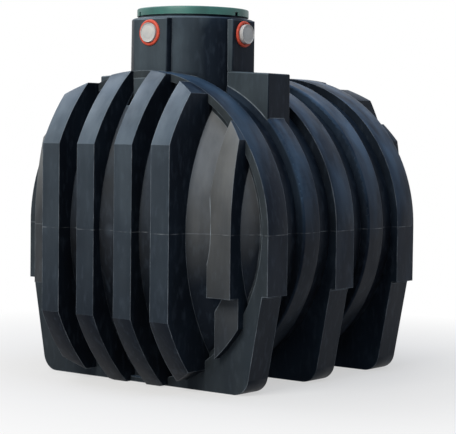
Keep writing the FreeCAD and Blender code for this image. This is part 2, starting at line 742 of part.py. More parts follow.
# Ends, with the lifting pocket between the inner ribs
pocket_half = "(inner_rib_place - rib_width / 2)"
sill = "(axis_height + pocket_sill)"
pocket_space = box("pocket_space", (f"-{pocket_half}", f"-2 * {END}", f"{sill} - wall"),
                   (pocket_half, f"-{END} + wall", "2 * axis_height + hoop_radius"))
sill_block = box("sill_block", (f"-{pocket_half}", f"-2 * {END}", f"{sill} - wall"),
                 (pocket_half, f"-{END} + wall", sill))
wall_block = box("wall_block", (f"-{pocket_half}", f"-{END}", sill),
                 (pocket_half, f"-{END} + wall", "2 * axis_height + hoop_radius"))
lip_core = cylinder("lip_core", f"{LIP_RADIUS} - seat_gap", f"2 * {END}",
                    ("0", f"-2 * {END}", "axis_height"), ALONG_Y)
front = {
    "dome": cut("front_dome", dome("front_dome_shell"), pocket_space),
    "lifting_pocket": join("front_pocket", common("front_sill", sill_block, bowl),
                           common("front_pocket_wall", wall_block, lip_core)),
    "inner_rib_right": cut("inner_rib", centre_rib("inner_rib_shell", "inner_rib_place"), bowl, lip_ring),
    "outer_rib_right": cut("outer_rib", centre_rib("outer_rib_shell", "outer_rib_place"), bowl, lip_ring),
    "side_rib_right": cut("side_rib", side_rib("side_rib_shell", "side_rib_place"), bowl, lip_ring),
}
for rib in ("inner_rib", "outer_rib", "side_rib"):
    right = front[f"{rib}_right"]
    front[f"{rib}_left"] = mirror(f"front_{rib}_left", right, LEFT_TO_RIGHT)
for name, thing in front.items():
    keep(f"front_{name}", thing)
    mirror(f"rear_{name}", thing, FRONT_TO_BACK)

# Neck and what stands on it
BOSSES = (
    ("boss_front", "front_boss_width", "barrel_radius", 0, True),
    ("boss_right", "side_boss_width", SHOULDER_TOP, 90, True),
    ("boss_back", "front_boss_width", "barrel_radius", 180, False),
    ("boss_left", "side_boss_width", SHOULDER_TOP, 270, False),
)
right_shoulder = keep("shoulder_right", cut("shoulder_right", shoulder("shoulder_shell"), crown, neck_core))
mirror("shoulder_left", right_shoulder, LEFT_TO_RIGHT)
for name, width, bottom, turn, bored in BOSSES:
    keep(name, cut(name, boss(f"{name}_shell", width, bottom, turn, bored), neck_core, crown))
within = "(boss_reach - wall)"
front_half, side_half = "(front_boss_width / 2 - wall)", "(side_boss_width / 2 - wall)"
window_floor, window_head = f"axis_height + {NECK_BOTTOM}", f"axis_height + {BOSS_TOP} - wall"
windows = join(
    "neck_windows",
    box("front_to_back_window", (f"-{front_half}", f"-{within} - neck_place", window_floor),
        (front_half, f"{within} - neck_place", window_head)),
    box("side_to_side_window", (f"-{within}", f"-{side_half} - neck_place", window_floor),
        (within, f"{side_half} - neck_place", window_head)),
)
keep("neck", cut("neck", make_neck("neck_shell"), crown, windows))
keep("lid", make_lid("lid"))
for side, across, along, turn in (("front", "0", "-boss_reach", 0), ("right", "boss_reach", "0", 90)):
    plug = plug_outline(f"{side}_plug_proud")
    keep(f"seal_{side}", turned_fitting(f"seal_{side}", seal_outline(), across, along, turn))
    keep(f"plug_{side}", turned_fitting(f"plug_{side}", plug, across, along, turn))

doc.recompute()
for thing in doc.Objects:
    if "Invalid" in thing.State or "Error" in thing.State:
        raise RuntimeError(f"{thing.Name} failed: {thing.State}")
os.makedirs("parts", exist_ok=True)
for name, thing in nodes.items():
    shape = thing.Shape
    if shape.isNull() or not shape.isValid() or not shape.Solids:
        raise RuntimeError(f"{name} has no valid shape")
for name, thing in nodes.items():
    thing.Shape.exportStep(f"parts/{name}.step")
    print(name, len(thing.Shape.Solids), round(thing.Shape.Volume / 1e6, 2), "litres")
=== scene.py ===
# %% [markdown]
# # An underground rainwater tank
# The tank is one hollow moulding of black polyethylene, made by turning a heated mould with
# powder in it, so it has soft corners, a thin parting line half way up and a satin skin.
# Its lid, two pipe seals and two pipe plugs are separate. The solid model gives every shape
# and place. This script gives the skins, the small trim and the studio.

import json
import math

import bmesh
import bpy
from mathutils import Matrix, Vector


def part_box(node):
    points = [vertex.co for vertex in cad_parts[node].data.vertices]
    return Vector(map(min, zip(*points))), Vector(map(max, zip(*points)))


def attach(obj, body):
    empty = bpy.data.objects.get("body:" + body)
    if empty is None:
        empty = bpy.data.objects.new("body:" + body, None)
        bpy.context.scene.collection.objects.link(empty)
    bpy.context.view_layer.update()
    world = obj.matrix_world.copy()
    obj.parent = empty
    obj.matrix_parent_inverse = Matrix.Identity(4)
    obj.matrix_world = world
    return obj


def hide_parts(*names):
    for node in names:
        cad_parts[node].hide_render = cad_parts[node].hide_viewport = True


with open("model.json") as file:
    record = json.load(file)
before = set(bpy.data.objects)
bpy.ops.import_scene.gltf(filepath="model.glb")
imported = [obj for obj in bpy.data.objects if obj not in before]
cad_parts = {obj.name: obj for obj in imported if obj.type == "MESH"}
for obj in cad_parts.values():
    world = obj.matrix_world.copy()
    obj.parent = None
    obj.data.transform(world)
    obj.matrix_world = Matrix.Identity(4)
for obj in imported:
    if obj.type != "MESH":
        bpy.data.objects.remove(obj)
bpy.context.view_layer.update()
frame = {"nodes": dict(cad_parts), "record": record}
print("nodes:", len(frame["nodes"]))

# %% [markdown]
# ## Colours and nodes
# Colours are written as they are seen on a screen and turned to the linear light that shaders
# work in. One helper adds a shader node: a socket given to it is linked, anything else is set.

# %% Colours and nodes


def seen(code):
    """The linear colour of an sRGB hex code."""
    levels = [int(code[place:place + 2], 16) / 255 for place in (1, 3, 5)]
    light = [level / 12.92 if level <= 0.04045 else ((level + 0.055) / 1.055) ** 2.4
             for level in levels]
    return (*light, 1.0)


def add(tree, kind, inputs=None, **settings):
    """Adds a node with its settings, and links or sets its inputs."""
    node = tree.nodes.new(kind)
    for name, setting in settings.items():
        setattr(node, name, setting)
    for name, given in (inputs or {}).items():
        if isinstance(given, bpy.types.NodeSocket):
            tree.links.new(given, node.inputs[name])
        else:
            node.inputs[name].default_value = given
    return node


def new_material(name):
    """An empty material, its tree and its shader."""
    material = bpy.data.materials.new(name)
    material.use_nodes = True
    tree = material.node_tree
    return material, tree, tree.nodes["Principled BSDF"]


print("black as a shader sees it:", [round(level, 4) for level in seen("#1C2025")])

# %% [markdown]
# ## Patches, ranges and blends
# A mark on a surface could be painted on a picture, but a picture has a fixed sharpness and has
# to be wrapped round the piece. Here every mark is built from small steps instead: a cloudy noise
# at a real size, a range that says where on the noise the mark starts and where it is whole, the
# product of such ranges, and a blend of two colours by the result.

# %% Patches, ranges and blends


def patches(tree, place, size, detail=3.0, stretch=(1, 1, 1)):
    """Cloudy noise whose patches are about one size across, in metres."""
    turned = add(tree, "ShaderNodeMapping", {"Vector": place, "Scale": stretch})
    inputs = {"Vector": turned.outputs["Vector"], "Scale": 1 / size, "Detail": detail}
    return add(tree, "ShaderNodeTexNoise", inputs).outputs["Fac"]


def spread(tree, factor, low, high, start, stop):
    """Maps one range onto another and stops at its ends."""
    inputs = {"Value": factor, "From Min": low, "From Max": high, "To Min": start, "To Max": stop}
    return add(tree, "ShaderNodeMapRange", inputs).outputs["Result"]


def blend(tree, factor, first, second):
    """Mixes two colours, each a hex code or a socket."""
    mix = add(tree, "ShaderNodeMix", data_type="RGBA")
    tree.links.new(factor, mix.inputs[0])
    for place, colour in ((6, first), (7, second)):
        if isinstance(colour, str):
            mix.inputs[place].default_value = seen(colour)
        else:
            tree.links.new(colour, mix.inputs[place])
    return mix.outputs[2]


def times(tree, *factors):
    """The product of several values."""
    result = factors[0]
    for factor in factors[1:]:
        result = add(tree, "ShaderNodeMath", {0: result, 1: factor}, operation="MULTIPLY").outputs[0]
    return result


print("each finish is made of", [step.__name__ for step in (patches, spread, blend, times)])

# %% [markdown]
# ## Black moulded polyethylene
# Rotationally moulded polyethylene is a satin, slightly waxy black. It takes the grain of a
# sandblasted mould, so the skin has an orange-peel texture, and the big flats are a little wavy
# from shrinking as they cool. All its marks are noise at a real size, because a noise in object
# space runs on unbroken from one piece of the moulding to the next. Some marks also depend on
# where they are, so two helpers measure the height above the parting line and the distance from
# the middle of the tank.

# %% Places on the moulding
PARTING_HEIGHT = 1.030


def above_line(tree, place):
    """The height above the parting line."""
    height = add(tree, "ShaderNodeSeparateXYZ", {"Vector": place}).outputs["Z"]
    return add(tree, "ShaderNodeMath", {0: height, 1: PARTING_HEIGHT}, operation="SUBTRACT").outputs[0]


def from_middle(tree, place):
    """The distance from the middle of the tank, to either side."""
    across = add(tree, "ShaderNodeSeparateXYZ", {"Vector": place}).outputs["X"]
    return add(tree, "ShaderNodeMath", {0: across}, operation="ABSOLUTE").outputs[0]


print("parting line at", PARTING_HEIGHT, "m")

# %% [markdown]
# ## Film of dust and painted light
# A tank that has stood outside gets a pale film of dust and chalk on what faces forward and up.
# Here the same film is also painted light: it is thickest on faces turned to the front light, it
# thins out towards the ground as painted shade, and it is thin on the dome between the tall ribs
# as their painted shade. It gathers in clouds, and rain washes streaks through it. Each of these is
# a factor from about 0 to 1, and their product says how much film there is at a point.

# %% Film of dust and painted light
FILM_AND_LIGHT_WAY = Vector((0.10, -0.75, 0.65)).normalized()    # forward and up, towards the front light: where dust lands and where light is painted
FILM_FACING = 0.55, 0.96    # how squarely a face looks that way where the film starts and is whole
FRONT_FACING = -0.55, -0.20    # how far it looks forward where the film is whole and where it ends
FILM_CLOUD = 0.45           # clouds of dust in the film
FILM_HEIGHTS = -0.9, 0.5    # above the parting line, from the thinnest film to the thickest; the thin foot is painted shade
RIB_SHADE_ENDS = 0.50, 0.58      # from the middle, where the painted shade of the tall ribs on the dome ends


def dust_and_painted_light(tree, place, normal, streak, at_foot, shade_between_ribs):
    """How much film of dust and painted light lies on the skin, with its shares of painted shade at
    the foot and between the ribs.
    """
    above, aside = above_line(tree, place), from_middle(tree, place)
    # painted light: faces turned to the front light get more of the film, as they get more dust
    facing = add(tree, "ShaderNodeVectorMath", {0: normal, 1: FILM_AND_LIGHT_WAY}, operation="DOT_PRODUCT")
    lit_and_exposed = spread(tree, facing.outputs["Value"], *FILM_FACING, 0.04, 1)
    forward = add(tree, "ShaderNodeSeparateXYZ", {"Vector": normal}).outputs["Y"]
    on_front = spread(tree, forward, *FRONT_FACING, 1, 0)
    # painted shade: less film low down and on the dome between the tall ribs
    from_top = spread(tree, above, *FILM_HEIGHTS, at_foot, 1.06)
    out_of_rib_shade = spread(tree, aside, *RIB_SHADE_ENDS, shade_between_ribs, 1)
    cloud = spread(tree, patches(tree, place, FILM_CLOUD, 3.0), 0.30, 0.70, 0.62, 1.1)
    washed = spread(tree, streak, 0.30, 0.72, 0.70, 1.15)
    return times(tree, lit_and_exposed, on_front, from_top, out_of_rib_shade, cloud, washed)


print("the film faces", [round(part, 2) for part in FILM_AND_LIGHT_WAY])

# %% [markdown]
# ## Rubbed edges and painted edge highlights
# Handling and transport rub the corners of the moulding paler, and the same pale line also stands
# in for the highlight that an edge catches, as a painted highlight. The Bevel node gives the normal
# that a small round would have. Compared with the face's own normal, it differs only close to an
# edge, so the angle between the two finds every edge without drawing any by hand.

# %% Rubbed edges and painted edge highlights
MM = 0.001                  # a millimetre, in the metres that the frame is in
EDGE_RUB_AND_HIGHLIGHT = 9 * MM          # how far from an edge the skin is rubbed and carries a painted highlight
RUBBED_BENDS = 0.985, 0.84  # cosines of the bends at which the rub starts and is whole
HANDLED = 0.09              # patches where hands and straps have rubbed more
RUB_SHARES = 0.15, 0.7      # how much paler a corner gets, where it is rubbed least and most


def rubbed_and_highlit_edges(tree, place, normal, reach=EDGE_RUB_AND_HIGHLIGHT):
    """How far the skin is rubbed and painted as a highlight: 0 on a face, and between the two shares
    on a corner.
    """
    soft = add(tree, "ShaderNodeBevel", {"Radius": reach}, samples=6).outputs["Normal"]
    bend = add(tree, "ShaderNodeVectorMath", {0: soft, 1: normal}, operation="DOT_PRODUCT")
    edge = spread(tree, bend.outputs["Value"], *RUBBED_BENDS, 0, 1)
    handled = spread(tree, patches(tree, place, HANDLED, 4.0), 0.36, 0.62, *RUB_SHARES)
    return times(tree, edge, handled)


print("edges are rubbed", round(EDGE_RUB_AND_HIGHLIGHT / MM), "mm in")

# %% [markdown]
# ## Parting line and grain
# The parting line of the mould runs level round the tank at the barrel's axis: a low trimmed
# ridge that is scuffed pale in places. It is too thin to model, so it is bump and colour. The
# three bumps follow one another, from the line over the waves to the peel, so that they add up.

# %% Parting line and grain
PARTING_RIDGE = 4 * MM      # half the width of the trimmed ridge
WAVE = 0.30                 # shrinkage waves in the flats
PEEL = 11 * MM              # the real peel is 2 to 4 mm across, drawn coarser so that it shows


def parting_ridge(tree, above):
    """The ridge of the parting line: 1 on the line, 0 beside it."""
    apart = add(tree, "ShaderNodeMath", {0: above}, operation="ABSOLUTE").outputs[0]
    return spread(tree, apart, 0, PARTING_RIDGE, 1, 0)


def moulded_grain(tree, place, ridge):
    """The normal of the skin with its parting line, its waves and its peel."""
    normal = None
    for height, strength, depth in ((ridge, 0.6, 2 * MM),
                                    (patches(tree, place, WAVE, 1.0), 0.5, 10 * MM),
                                    (patches(tree, place, PEEL, 2.0), 0.35, 1 * MM)):
        inputs = {"Height": height, "Strength": strength, "Distance": depth}
        if normal:
            inputs["Normal"] = normal
        normal = add(tree, "ShaderNodeBump", inputs).outputs["Normal"]
    return normal


print("parting line", round(2 * PARTING_RIDGE / MM), "mm wide")

# %% [markdown]
# ## Painted sky reflection and scuffs
# The crests of the hoops face the sky, and its blue is painted into their colour as a painted
# reflection, in long patches round the barrel with paler painted highlights. The grooves between them
# stay black.

# %% Painted sky reflection and scuffs
SHADE = 0.9                 # wide patches of a deeper and a paler black
SKY_PATCH = 0.16                # width of the patches of painted reflection, three times as long round the barrel
SCUFF = 32 * MM             # brushed scuffs from handling
CREST_FACING = -0.08, 0.75    # how far up a face looks where the painted sky reflection starts and is whole


def base_black(tree, place, normal, painted_sky):
    """The black in its two shades, with its share of painted sky reflection and its scuffs."""
    upward = add(tree, "ShaderNodeSeparateXYZ", {"Vector": normal}).outputs["Z"]
    shade = spread(tree, patches(tree, place, SHADE, 2.0), 0.35, 0.68, 0, 1)
    colour = blend(tree, shade, "#0A0C11", "#101419")
    # painted reflection of the blue sky on upward faces, with paler patches as painted highlights
    sky_patches = spread(tree, patches(tree, place, SKY_PATCH, 4.0, (0.33, 1, 0.33)), 0.40, 0.66, 0, 1)
    sky_colour = blend(tree, sky_patches, "#172637", "#425A73")
    colour = blend(tree, spread(tree, upward, *CREST_FACING, 0, painted_sky), colour, sky_colour)
    scuffed = spread(tree, patches(tree, place, SCUFF, 6.0, (1, 1, 0.35)), 0.52, 0.74, 0, 0.32)
    return blend(tree, scuffed, colour, "#363F4A")


print("bloom in patches", round(SKY_PATCH / MM), "mm wide")

# %% [markdown]
# ## The whole skin
# The layers go on in the order in which the real marks come: the black of the plastic, the
# painted sky reflection and the scuffs, the film of dust and painted light, the rubbed edges with
# their painted highlight, and the parting line. The gloss is low and cool, because the waxy skin
# mostly mirrors the sky, and it changes a little with the streaks.

# %% Black polyethylene
STREAK = 0.11               # width of a rain streak, which is several times longer
LINE_WEAR = 60 * MM         # patches in which the parting line is scuffed
SHEEN_LEVEL, SHEEN_TINT = 0.11, "#7CABE7"


def black_polyethylene(name, film, film_tint, painted_sky, at_foot=0.22, shade_between_ribs=1):
    """Satin black with a share of the film of dust and painted light in its tint, and a share of
    painted sky reflection.
    """
    material, tree, shader = new_material(name)
    place = add(tree, "ShaderNodeTexCoord").outputs["Object"]
    normal = add(tree, "ShaderNodeNewGeometry").outputs["Normal"]
    streak = patches(tree, place, STREAK, 5.0, (1, 1, 0.14))
    # the film is dust and painted light together, with painted shade low down and between the ribs
    dust_and_light = times(tree, dust_and_painted_light(tree, place, normal, streak, at_foot, shade_between_ribs), film)
    colour = blend(tree, dust_and_light, base_black(tree, place, normal, painted_sky), film_tint)
    # pale rubbed edges, which are also painted edge highlights
    colour = blend(tree, rubbed_and_highlit_edges(tree, place, normal), colour, "#8D98A2")
    ridge = parting_ridge(tree, above_line(tree, place))
    scuffed = spread(tree, patches(tree, place, LINE_WEAR, 3.0), 0.44, 0.68, 0.03, 0.55)
    colour = blend(tree, times(tree, ridge, scuffed), colour, "#878D92")
    tree.links.new(colour, shader.inputs["Base Color"])
    tree.links.new(spread(tree, streak, 0.3, 0.75, 0.50, 0.36), shader.inputs["Roughness"])
    shader.inputs["Specular IOR Level"].default_value = SHEEN_LEVEL
    shader.inputs["Specular Tint"].default_value = seen(SHEEN_TINT)
    tree.links.new(moulded_grain(tree, place, ridge), shader.inputs["Normal"])
    return material


print("rain streaks", round(STREAK / MM), "mm wide")

# %% [markdown]
# ## A skin for each kind of piece
# The crests of the hoops get the bluish painted sky reflection. The grooves between them stay
# dark, with little film, as painted shade, and the front of the tank gets most of the film, which is
# dust and painted light there. One material could find these places by itself, but a skin for each
# kind of piece is easier to tune beside a photograph. They share one function, so they stay alike in
# grain and gloss.

# %% Skins of the black pieces
# film shares follow the light on each kind of piece as well as its dust: the low shares of the grooves
# and hoops are painted shade, the high ones towards the front painted light, and the paler tint of the
# end is painted light too
skins = {
    "bays": black_polyethylene("black_polyethylene_grooves", film=0.05, film_tint="#5E6870", painted_sky=0.2),
    "hoops": black_polyethylene("black_polyethylene_crests", film=0.10, film_tint="#5E6870", painted_sky=1.0),
    "front": black_polyethylene("black_polyethylene_front_hoop", film=0.55, film_tint="#5E6668",
                                painted_sky=0.6, at_foot=0.8),
    "ribs": black_polyethylene("black_polyethylene_ribs", film=0.70, film_tint="#5C6770", painted_sky=0.4),
    "neck": black_polyethylene("black_polyethylene_neck", film=0.84, film_tint="#5F6B72", painted_sky=0.4),
    "end": black_polyethylene("black_polyethylene_end", film=0.97, film_tint="#787A7A", painted_sky=0.5,
                              shade_between_ribs=0.25),
}
print("skins:", [skin.name for skin in skins.values()])

# %% [markdown]
# ## Green lid, rubber seals and grey plugs
# The lid is the same polyethylene, coloured green all through, a little faded where the sun
# has reached it. The seals are nitrile rubber in signal orange-red, matt and slightly dusty.
# The plugs are push-fit pipe ends of grey PVC, smoother than the moulding. All three are rubbed
# paler along their edges, over a few millimetres, which also paints a highlight there, by the
# helper that does the same to the black skin.

# %% Lid, seal and plug finishes


def plain_polymer(name, colours, patch, roughness, grain, depth, wear):
    """A coloured plastic or rubber: two close colours in patches, edges rubbed paler with a painted
    highlight, and a fine grain.
    """
    material, tree, shader = new_material(name)
    place = add(tree, "ShaderNodeTexCoord").outputs["Object"]
    normal = add(tree, "ShaderNodeNewGeometry").outputs["Normal"]
    dark, light, worn_and_highlit = colours
    cloud = patches(tree, place, patch, 4.0)
    colour = blend(tree, spread(tree, cloud, 0.35, 0.65, 0, 1), dark, light)
    # the third colour is the pale of rubbed edges and of their painted highlight
    tree.links.new(blend(tree, rubbed_and_highlit_edges(tree, place, normal, wear), colour, worn_and_highlit),
                   shader.inputs["Base Color"])
    low, high = roughness
    tree.links.new(spread(tree, cloud, 0.3, 0.7, high, low), shader.inputs["Roughness"])
    bump = add(tree, "ShaderNodeBump", {"Height": patches(tree, place, grain, 2.0),
                                        "Strength": 0.4, "Distance": depth})
    tree.links.new(bump.outputs["Normal"], shader.inputs["Normal"])
    return material


# the third colour of each finish is the pale of rubbed edges and of their painted highlight
finishes = {
    "lid": plain_polymer("green_moulded_polyethylene", ("#1D4D48", "#2C665E", "#64938A"),
                         patch=0.18, roughness=(0.36, 0.5), grain=9 * MM, depth=0.6 * MM,
                         wear=6 * MM),
    "seal": plain_polymer("orange_red_nitrile_rubber", ("#B03820", "#C44830", "#C8705A"),
                          patch=0.03, roughness=(0.5, 0.65), grain=3 * MM, depth=0.2 * MM,
                          wear=3 * MM),
    "plug": plain_polymer("grey_pvc_pipe", ("#A6A8A9", "#B5B5B3", "#C8C9C9"),
                          patch=0.05, roughness=(0.32, 0.42), grain=4 * MM, depth=0.1 * MM,
                          wear=3 * MM),
}
print("finishes:", [finish.name for finish in finishes.values()])

# %% [markdown]
# ## Dressing the solids
# The record says which finish each solid has. A black piece is then given its skin by the words
# in its name. The list is read from the top, so a side rib counts as part of the end, with the
# dome, before the word rib is tried. A hoop or band that no row names gets the crests' skin.

# %% Dressing the solids
SKIN_WORDS = (("side_rib", "end"), ("dome", "end"), ("rib", "ribs"), ("neck", "neck"),
              ("boss", "neck"), ("shoulder", "neck"), ("pocket", "neck"), ("bay", "bays"),
              ("front_hoop", "front"))


def skin_of(node):
    """The skin of a black piece, by the first word of the list that its name holds."""
    return next((skins[skin] for word, skin in SKIN_WORDS if word in node), skins["hoops"])


for entry in frame["record"]["subparts"]:
    node, finish = entry["node"], entry["material_slot"]
    mesh = frame["nodes"][node].data
    mesh.materials.clear()
    mesh.materials.append(skin_of(node) if finish == "tank_shell" else finishes[finish])

# %% [markdown]
# ## Soft edges on the moulding
# A turned mould can't give a sharp corner, so the outside edges of the black pieces get a small
# round. It could be cut into the solids, but a Bevel modifier is quicker and stays easy to change.
# The faces of a solid come as loose triangles, so they are welded first, and only edges that bend
# sharply are rounded. Where a piece has very short edges, the modifier keeps its round small, and
# there the rubbed edges of the skin, with their painted highlight, do most of the softening.

# %% Rounded edges
EDGE_ROUND, WELD_REACH = 7 * MM, 0.02 * MM
SHARP_BEND = math.radians(35)

for entry in frame["record"]["subparts"]:
    if entry["material_slot"] != "tank_shell":
        continue
    node = frame["nodes"][entry["node"]]
    weld = node.modifiers.new("weld", "WELD")
    weld.merge_threshold = WELD_REACH
    soft = node.modifiers.new("soft_edges", "BEVEL")
    soft.width = EDGE_ROUND
    soft.segments = 3
    soft.limit_method = "ANGLE"
    soft.angle_limit = SHARP_BEND
print("rounded nodes:", sum(len(node.modifiers) > 1 for node in frame["nodes"].values()))

# %% [markdown]
# ## Turned pieces
# The seals and plugs are round, so each is an outline turned about its own axis, as on a lathe.
# An outline is a list of radius and height, with the height counted outwards from the boss that
# it sits in. Its corners are softened before it is turned, which is simpler than rounding the
# edges of the finished mesh.

# %% Outlines and turning


def round_corners(outline, radius, steps=4):
    """Replaces each inner corner of an open outline by a short curve."""
    points = [Vector(point) for point in outline]
    soft = [outline[0]]
    for before, corner, after in zip(points, points[1:], points[2:]):
        reach = min(radius, (before - corner).length / 2, (after - corner).length / 2)
        first = corner + (before - corner).normalized() * reach
        last = corner + (after - corner).normalized() * reach
        for step in range(steps + 1):
            share = step / steps
            soft.append(tuple(first.lerp(corner, share).lerp(corner.lerp(last, share), share)))
    return soft + [outline[-1]]


def turn_outline(shape, outline, steps=96, closed=False):
    """Turns an outline of (radius, height) points about the Z axis into a mesh under work."""
    points = [shape.verts.new((radius, 0, height)) for radius, height in outline]
    pairs = list(zip(points, points[1:])) + ([(points[-1], points[0])] if closed else [])
    edges = [shape.edges.new(pair) for pair in pairs]
    bmesh.ops.spin(shape, geom=points + edges, cent=(0, 0, 0), axis=(0, 0, 1),
                   angle=math.tau, steps=steps, use_merge=True)


print("a square corner becomes", len(round_corners([(0, 0), (1, 0), (1, 1)], 0.2)) - 2, "points")

# %% [markdown]
# ## A finished piece
# A turned mesh has doubled points on its axis and may be inside out, so its doubles are merged
# and its normals are worked out again. Its place goes into the mesh itself, because the object
# has to stay unturned at the origin for the export and for patterns in object space.

# %% A finished piece
DOUBLES = 0.01 * MM
SMOOTH_BEND = math.radians(40)


def finished(name, shape, finish, place):
    """Makes the mesh under work a smooth object, laid at its place, that rides on the tank."""
    bmesh.ops.remove_doubles(shape, verts=shape.verts, dist=DOUBLES)
    bmesh.ops.transform(shape, matrix=place, verts=shape.verts)
    bmesh.ops.recalc_face_normals(shape, faces=shape.faces)
    for face in shape.faces:
        face.smooth = True
    mesh = bpy.data.meshes.new(name)
    shape.to_mesh(mesh)
    shape.free()
    mesh.set_sharp_from_angle(angle=SMOOTH_BEND)
    mesh.materials.append(finishes[finish])
    piece = bpy.data.objects.new(name, mesh)
    bpy.context.collection.objects.link(piece)
    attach(piece, "root")
    return piece


print("doubles are merged within", DOUBLES / MM, "mm")

# %% [markdown]
# ## Seals
# A pipe seal is a fat rubber ring with a rounded front and a sleeve through the boss. Its front
# is half an ellipse, which is how such a lip looks once a pipe is pushed through. The ring grips
# the plug, so its inside follows from the plug's radius.

# %% Outline of a seal
SEAL_PROUD, SEAL_DEPTH = 13 * MM, 20 * MM
SEAL_FOOT = 4 * MM          # straight part of the ring before its round front
SEAL_SLEEVE = 74.5 * MM     # outer radius of the sleeve in the boss
SEAL_INSET = 1 * MM         # the ring is this much smaller than its solid
PLUG_RADIUS = 64.5 * MM
SEAL_GRIP = 0.5 * MM        # between the seal and the plug
FRONT_STEPS = 16


def seal_outline(outer):
    """Half an ellipse in front of the boss, and the sleeve behind it."""
    inner = PLUG_RADIUS + SEAL_GRIP
    middle, half = (outer + inner) / 2, (outer - inner) / 2
    front = [(middle + half * math.cos(step * math.pi / FRONT_STEPS),
              SEAL_FOOT + (SEAL_PROUD - SEAL_FOOT) * math.sin(step * math.pi / FRONT_STEPS))
             for step in range(FRONT_STEPS + 1)]
    back = [(inner, -SEAL_DEPTH), (SEAL_SLEEVE, -SEAL_DEPTH), (SEAL_SLEEVE, 0)]
    return [(outer, 0)] + front + back


print("a seal stands out", round(SEAL_PROUD / MM), "mm from its boss")

# %% [markdown]
# ## Seals in their bosses
# An outline is turned about an upright axis, so the finished ring has to be tipped over and moved
# to its boss. The boss's face is found from the box of the solid that the ring replaces, and a
# matrix holds the turn and the move together.

# %% Seals


def on_boss(side):
    """The place of a fitting in a boss: its own Z axis points out of the boss's face."""
    low, high = (Vector(corner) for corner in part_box(f"seal_{side}"))
    middle = (low + high) / 2
    if side == "front":
        face = Vector((middle.x, low.y + SEAL_PROUD, middle.z))
        return Matrix.Translation(face) @ Matrix.Rotation(math.pi / 2, 4, "X")
    face = Vector((high.x - SEAL_PROUD, middle.y, middle.z))
    return Matrix.Translation(face) @ Matrix.Rotation(math.pi / 2, 4, "Y")


for side in ("front", "right"):
    low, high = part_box(f"seal_{side}")
    ring = bmesh.new()
    turn_outline(ring, seal_outline((high[2] - low[2]) / 2 - SEAL_INSET), closed=True)
    piece = finished(f"rubber_seal_{side}", ring, "seal", on_boss(side))
    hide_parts(f"seal_{side}")
    print(piece.name, len(piece.data.polygons), "faces")

# %% [markdown]
# ## Plugs
# The plug in a seal is a pipe end cap: a rolled rim, a face set back behind it and a shallow
# moulded step in the middle of the face. It is hollow behind, as a moulded cap is, so its outline
# runs out over the face and the rim and comes back along the inside of the wall.

# %% Plugs
PLUG_WALL, PLUG_RECESS, PLUG_STEP = 4 * MM, 5 * MM, 1.5 * MM
PLUG_ROUND = 1.4 * MM
STEP_TOP, STEP_FOOT = 0.62, 0.66    # of the inner radius, where the step's slope starts and ends


def plug_outline(proud, depth):
    """From the middle of the face over the step and the rim, back along the wall and inside."""
    face, inner = proud - PLUG_RECESS, PLUG_RADIUS - PLUG_WALL
    bottom = face - PLUG_WALL
    return round_corners([
        (0, face + PLUG_STEP), (STEP_TOP * inner, face + PLUG_STEP), (STEP_FOOT * inner, face),
        (inner, face), (inner, proud), (PLUG_RADIUS, proud), (PLUG_RADIUS, -depth),
        (inner, -depth), (inner, bottom), (0, bottom),
    ], PLUG_ROUND)


for side, axis, outward in (("front", 1, -1), ("right", 0, 1)):
    low, high = (Vector(corner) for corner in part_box(f"plug_{side}"))
    seal_low, seal_high = (Vector(corner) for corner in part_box(f"seal_{side}"))
    length = high[axis] - low[axis]
    ahead = high[axis] - seal_high[axis] if outward > 0 else seal_low[axis] - low[axis]
    proud = SEAL_PROUD + ahead
    cap = bmesh.new()
    turn_outline(cap, plug_outline(proud, length - proud))
    piece = finished(f"pipe_plug_{side}", cap, "plug", on_boss(side))
    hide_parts(f"plug_{side}")
    print(piece.name, "stands out", round(proud / MM, 1), "mm")

# %% [markdown]
# ## Outline of the lid
# The lid is a shallow cap with a rounded shoulder, a skirt, and a thick ring underneath that sits
# on the collar of the neck. One function draws its outline at any turn. The foot of the skirt is
# its one input, because that foot is raised where a lock notch is.

# %% Outline of the lid
lid_low, lid_high = (Vector(corner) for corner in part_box("lid"))
LID_RADIUS, LID_HEIGHT = (lid_high.x - lid_low.x) / 2, lid_high.z - lid_low.z
LID_CENTRE, LID_FALL = 90 * MM, 14 * MM      # the level middle, and the fall from it to the edge
LID_WALL, LID_ROUND = 9 * MM, 10 * MM
PLUG_RING, RING_DEPTH = 336 * MM, 34 * MM    # the thick ring that sits on the collar
NOTCH_HEIGHT = 24 * MM


def lid_outline(foot):
    """From the middle over the edge down to the foot of the skirt, then back along the inside."""
    top, edge, inner = LID_HEIGHT, LID_HEIGHT - LID_FALL, LID_RADIUS - LID_WALL
    over = round_corners([(0, top), (LID_CENTRE, top), (LID_RADIUS, edge),
                          (LID_RADIUS, NOTCH_HEIGHT)], LID_ROUND)
    return over + [(LID_RADIUS, foot), (inner, foot), (inner, NOTCH_HEIGHT), (inner, RING_DEPTH),
                   (PLUG_RING, RING_DEPTH), (PLUG_RING, edge - LID_WALL),
                   (LID_CENTRE, top - LID_WALL), (0, top - LID_WALL)]


print("lid, m:", round(2 * LID_RADIUS, 3), "wide,", round(LID_HEIGHT, 3), "high")

# %% [markdown]
# ## Lid
# The skirt has three lock notches at its lower edge, a third of a turn apart, for the bolts that
# hold the lid down. A spin can't leave notches, and cutting them out afterwards leaves long thin
# faces that shade badly, so the cap is built as sectors between two copies of its outline. In a
# notch, the foot of the outline is raised, and a small wall closes the step at each side of it.

# %% Lid with its notches
LID_SECTORS, NOTCH_SECTORS, NOTCHES = 144, 2, 3


def outline_at(shape, sector, foot):
    """The points of the outline at the start of a sector."""
    turn = Matrix.Rotation(math.tau * sector / LID_SECTORS, 4, "Z")
    return [shape.verts.new(turn @ Vector((radius, 0, height)))
            for radius, height in lid_outline(foot)]


